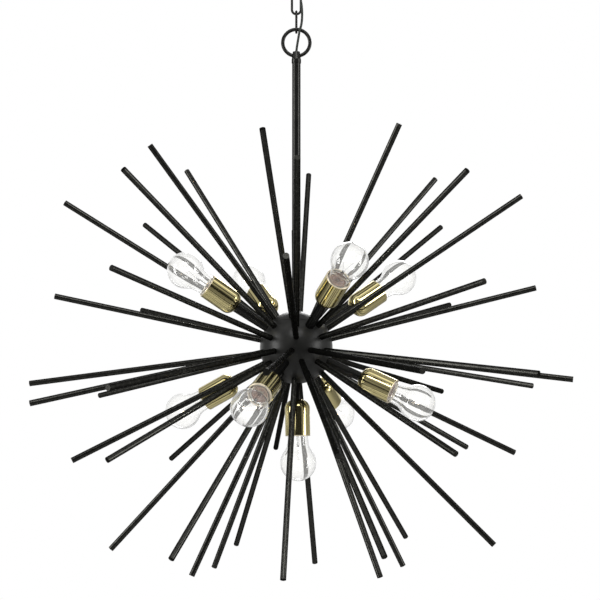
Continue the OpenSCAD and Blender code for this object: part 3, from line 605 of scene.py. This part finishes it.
def round_wire(points, radius, sides=8):
    """Vertices and faces of a closed wire along points, in any direction."""
    verts, faces = [], []
    for i, point in enumerate(points):
        along = (points[min(i + 1, len(points) - 1)] - points[max(i - 1, 0)]).normalized()
        side = along.cross(Vector((0.3, 1, 0.2))).normalized()
        other = along.cross(side)
        for j in range(sides):
            angle = 2 * math.pi * j / sides
            verts.append(point + radius * (math.cos(angle) * side + math.sin(angle) * other))
    for i in range(len(points) - 1):
        for j in range(sides):
            a, b = i * sides + j, i * sides + (j + 1) % sides
            faces.append((a, b, b + sides, a + sides))
    faces.append(tuple(reversed(range(sides))))
    faces.append(tuple(range(len(verts) - sides, len(verts))))
    return verts, faces


# Lead wires and filament: two wires rise from the mount's tip and hold a coil between their ends.
# The coil is white-hot, but it isn't sampled as a lamp.
filament_height = 79 * mm
filament_half = 11 * mm
filament_sag = 2 * mm
coil_turns, coil_corners = 26, 8
coil_radius = 1 * mm
coil_wire = 0.35 * mm
lead_wire = 0.3 * mm
lead_foot, lead_bend = (2 * mm, 50 * mm), (3.2 * mm, 60 * mm)
support_wire = finish_material("support wire", colour(150, 150, 152), colour(180, 180, 182), 0.3, 0.45,
                               400, 3000, metallic=1.0)
hot_filament = finish_material("hot filament", colour(230, 214, 190), colour(250, 236, 214), 0.4, 0.6,
                               400, 3000)
hot_shader = hot_filament.node_tree.nodes["Principled BSDF"]
hot_shader.inputs["Emission Color"].default_value = (1, 0.9, 0.74, 1)
hot_shader.inputs["Emission Strength"].default_value = 5
hot_filament.cycles.emission_sampling = "NONE"
mount_glass, mount_tree, mount_shader = new_material("mount glass")
mount_shader.inputs["Transmission Weight"].default_value = 1.0
mount_shader.inputs["Roughness"].default_value = 0.02
mount_shader.inputs["IOR"].default_value = 1.5
mount_noise = mount_tree.nodes.new("ShaderNodeTexNoise")
mount_noise.inputs["Scale"].default_value = 180
mount_place = mount_tree.nodes.new("ShaderNodeTexCoord")
mount_tree.links.new(mount_place.outputs["Object"], mount_noise.inputs["Vector"])
mount_bump = mount_tree.nodes.new("ShaderNodeBump")
mount_bump.inputs["Strength"].default_value = 0.15
mount_bump.inputs["Distance"].default_value = 0.0005
mount_tree.links.new(mount_noise.outputs["Fac"], mount_bump.inputs["Height"])
mount_tree.links.new(mount_bump.outputs["Normal"], mount_shader.inputs["Normal"])


def bulb_piece(name, number, shape, material, replaced=None):
    """One piece of a bulb, moved to its lamp and riding on its bulb's body.

    Where it stands for a CAD node, replaced is that node's name after the bulb's.
    """
    piece = mesh_object(f"bulb_{number + 1}_{name}", *shape)
    piece.data.transform(lamp_matrix(number) @ Matrix.Translation((0, 0, bulb_seat)))
    piece.data.materials.append(material)
    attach(piece, f"bulb_{number + 1}")
    if replaced:
        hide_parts(f"bulb_{number + 1}_{replaced}")


def joined_wires(wires):
    """Closed wires, each as (points, radius, sides), as one list of vertices and one of faces."""
    verts, faces = [], []
    for path, radius, sides in wires:
        new_verts, new_faces = round_wire(path, radius, sides)
        faces += [tuple(i + len(verts) for i in face) for face in new_faces]
        verts += new_verts
    return verts, faces


def coil_shape():
    """The filament: a coil along X that bows towards the crown."""
    coil = []
    for i in range(coil_turns * coil_corners + 1):
        share = i / (coil_turns * coil_corners)
        angle = 2 * math.pi * i / coil_corners
        bow = filament_sag * math.sin(math.pi * share)
        coil.append(Vector((-filament_half + 2 * filament_half * share, coil_radius * math.cos(angle),
                            filament_height + coil_radius * math.sin(angle) + bow)))
    return joined_wires([(coil, coil_wire, 6)])


def lead_wire_shape():
    """Two lead wires, from the mount's tip to the ends of the filament."""
    wires = []
    for side in (-1, 1):
        corners = [Vector((side * x, 0, z))
                   for x, z in (lead_foot, lead_bend, (filament_half, filament_height))]
        wires.append((through(corners, 6), lead_wire, 8))
    return joined_wires(wires)


# Cement: a brown dish of it in the cap, under the neck. Heat disc: a plate with two raised rings that
# lies across the neck, and shows pinkish and mottled in the mouth of the lampholder.
cement_radius = cap_radius - 0.8 * mm
cement_foot, cement_top = 17 * mm, neck_foot - 0.3 * mm
cement_outline = [(0, 20 * mm), (5 * mm, 20.6 * mm), (9 * mm, 22.4 * mm), (11 * mm, cement_top),
                  (cement_radius, cement_top), (cement_radius, cement_foot), (0, cement_foot)]
disc_height = 32 * mm
disc_radius = 14.2 * mm
disc_bore = 2.9 * mm
disc_thickness = 0.3 * mm
disc_face = disc_height + 0.1 * mm
crest = disc_height + 0.5 * mm
crest_half = 0.6 * mm
disc_outline = [(disc_bore, disc_height - disc_thickness), (disc_radius, disc_height - disc_thickness),
                (disc_radius, disc_height)]
for ring in (10.4 * mm, 7.4 * mm):
    disc_outline += [(ring + crest_half, disc_face), (ring, crest), (ring - crest_half, disc_face)]
disc_outline.append((disc_bore, disc_height))
heat_disc = finish_material("heat disc", colour(4, 0, 0), colour(190, 148, 126), 0.3, 0.45,
                            330, 3000, bump=0.3, bump_height=0.0003)
glass_sides, cap_sides, mount_sides = 96, 64, 48
for number in range(len(lamp_mounts)):
    bulb_piece("clear_glass", number, turned(glass_outline, glass_sides, False),
               clear_glass, "glass")
    bulb_piece("screw_cap", number, turned(cap_outline, cap_sides, False), cap_metal, "cap")
    bulb_piece("cement", number, turned(cement_outline, cap_sides, False), basing_cement)
    bulb_piece("glass_mount", number, turned(mount_outline, mount_sides, False),
               mount_glass, "mount")
    bulb_piece("heat_disc", number, turned(disc_outline, cap_sides, True), heat_disc)
    bulb_piece("lead_wires", number, lead_wire_shape(), support_wire)
    bulb_piece("filament", number, coil_shape(), hot_filament)


# Studio: a pale floor well below the light, clear from underneath, a white surround, a strip lamp at
# each side, a lamp above the front and a weak one behind.
floor_half, floor_height = 16, -2.6
floor_corners = [(x * floor_half, y * floor_half, floor_height)
                 for x, y in ((-1, -1), (1, -1), (1, 1), (-1, 1))]
floor = mesh_object("floor", floor_corners, [(0, 1, 2, 3)], False)
floor_paint, floor_tree, floor_shader = new_material("floor paint")
floor_shader.inputs["Base Color"].default_value = (0.6, 0.6, 0.6, 1)
floor_shader.inputs["Roughness"].default_value = 0.9
floor_shader.inputs["Emission Color"].default_value = (1, 1, 1, 1)
floor_side = floor_tree.nodes.new("ShaderNodeNewGeometry")
floor_seen = floor_tree.nodes.new("ShaderNodeLightPath")
above_floor = floor_tree.nodes.new("ShaderNodeMapRange")
above_floor.inputs["To Min"].default_value = 1
above_floor.inputs["To Max"].default_value = 0
floor_glow = floor_tree.nodes.new("ShaderNodeMapRange")
floor_glow.inputs["To Max"].default_value = 0.7
seen_or_through = floor_tree.nodes.new("ShaderNodeMath")
seen_or_through.operation = "MAXIMUM"
floor_tree.links.new(floor_side.outputs["Backfacing"], above_floor.inputs["Value"])
floor_tree.links.new(above_floor.outputs["Result"], floor_shader.inputs["Alpha"])
floor_tree.links.new(floor_seen.outputs["Is Camera Ray"], seen_or_through.inputs[0])
floor_tree.links.new(floor_seen.outputs["Is Transmission Ray"], seen_or_through.inputs[1])
floor_tree.links.new(seen_or_through.outputs[0], floor_glow.inputs["Value"])
floor_tree.links.new(floor_glow.outputs["Result"], floor_shader.inputs["Emission Strength"])
floor.data.materials.append(floor_paint)

# The world: white to the camera and through glass, and a weaker white light for matt surfaces. What
# metal and glass mirror goes from the bright backdrop behind the object (0), by grey sides and a
# frame of white panels, to the dark room behind the camera (1).
studio_stops = [(0.0, 1.0), (0.12, 0.7), (0.2, 0.12), (0.3, 0.5), (0.47, 0.35), (0.52, 0.05),
                (0.56, 1.2), (0.64, 1.2), (0.68, 0.55), (0.75, 0.5), (0.78, 0.04), (0.82, 0.04),
                (0.85, 0.4), (0.9, 0.3), (0.94, 0.03), (1.0, 0.03)]
world = bpy.data.worlds.new("studio")
bpy.context.scene.world = world
world.use_nodes = True
world_tree = world.node_tree
background = world_tree.nodes["Background"]
rays = world_tree.nodes.new("ShaderNodeLightPath")
seen_clear = world_tree.nodes.new("ShaderNodeMath")
seen_clear.operation = "MAXIMUM"
seen_or_glossy = world_tree.nodes.new("ShaderNodeMath")
seen_or_glossy.operation = "MAXIMUM"
level = world_tree.nodes.new("ShaderNodeMapRange")
level.inputs["To Min"].default_value = 0.3
level.inputs["To Max"].default_value = 1.0
direction = world_tree.nodes.new("ShaderNodeTexCoord")
facing = world_tree.nodes.new("ShaderNodeVectorMath")
facing.operation = "DOT_PRODUCT"
facing.inputs[1].default_value = (0.1, -0.995, 0)  # towards the camera, a little to the right
turn_share = world_tree.nodes.new("ShaderNodeMapRange")
turn_share.inputs["From Min"].default_value = -1
studio_walls = world_tree.nodes.new("ShaderNodeValToRGB")
stops = studio_walls.color_ramp.elements
for i, (spot, grey) in enumerate(studio_stops):
    stop = stops[0] if i == 0 else stops[-1] if spot == 1.0 else stops.new(spot)
    stop.color = (grey, grey, grey, 1)
mirrored = world_tree.nodes.new("ShaderNodeMix")
mirrored.data_type = "RGBA"
mirrored.inputs["A"].default_value = (1, 1, 1, 1)
only_mirrored = world_tree.nodes.new("ShaderNodeMath")
only_mirrored.operation = "SUBTRACT"
only_mirrored.use_clamp = True
link = world_tree.links.new
link(rays.outputs["Is Camera Ray"], seen_clear.inputs[0])
link(rays.outputs["Is Transmission Ray"], seen_clear.inputs[1])
link(seen_clear.outputs[0], seen_or_glossy.inputs[0])
link(rays.outputs["Is Glossy Ray"], seen_or_glossy.inputs[1])
link(seen_or_glossy.outputs[0], level.inputs["Value"])
link(level.outputs["Result"], background.inputs["Strength"])
link(direction.outputs["Generated"], facing.inputs[0])
link(facing.outputs["Value"], turn_share.inputs["Value"])
link(turn_share.outputs["Result"], studio_walls.inputs["Fac"])
link(rays.outputs["Is Glossy Ray"], only_mirrored.inputs[0])
link(rays.outputs["Is Transmission Ray"], only_mirrored.inputs[1])
link(only_mirrored.outputs[0], mirrored.inputs["Factor"])
link(studio_walls.outputs["Color"], mirrored.inputs["B"])
link(mirrored.outputs["Result"], background.inputs["Color"])


def soft_lamp(name, offset, width, height, power):
    """A soft lamp at an offset from the ball, turned towards it. Its power is in watts."""
    lamp = bpy.data.objects.new(name, bpy.data.lights.new(name, "AREA"))
    lamp.data.shape = "RECTANGLE"
    lamp.data.size = width
    lamp.data.size_y = height
    lamp.data.energy = power
    place = hub + Vector(offset)
    lamp.location = place
    lamp.rotation_euler = (hub - place).to_track_quat("-Z", "Y").to_euler()
    bpy.context.scene.collection.objects.link(lamp)


soft_lamp("left_lamp", (-3.0, -1.2, 0.4), 1.0, 2.4, 55)
soft_lamp("right_lamp", (3.0, -1.3, 0.3), 1.0, 2.4, 44)
soft_lamp("upper_lamp", (0.1, -2.3, 2.2), 2.2, 0.8, 34)
soft_lamp("back_lamp", (0.4, 2.6, 1.6), 1.6, 0.8, 30)

bpy.context.scene.view_settings.view_transform = "Standard"
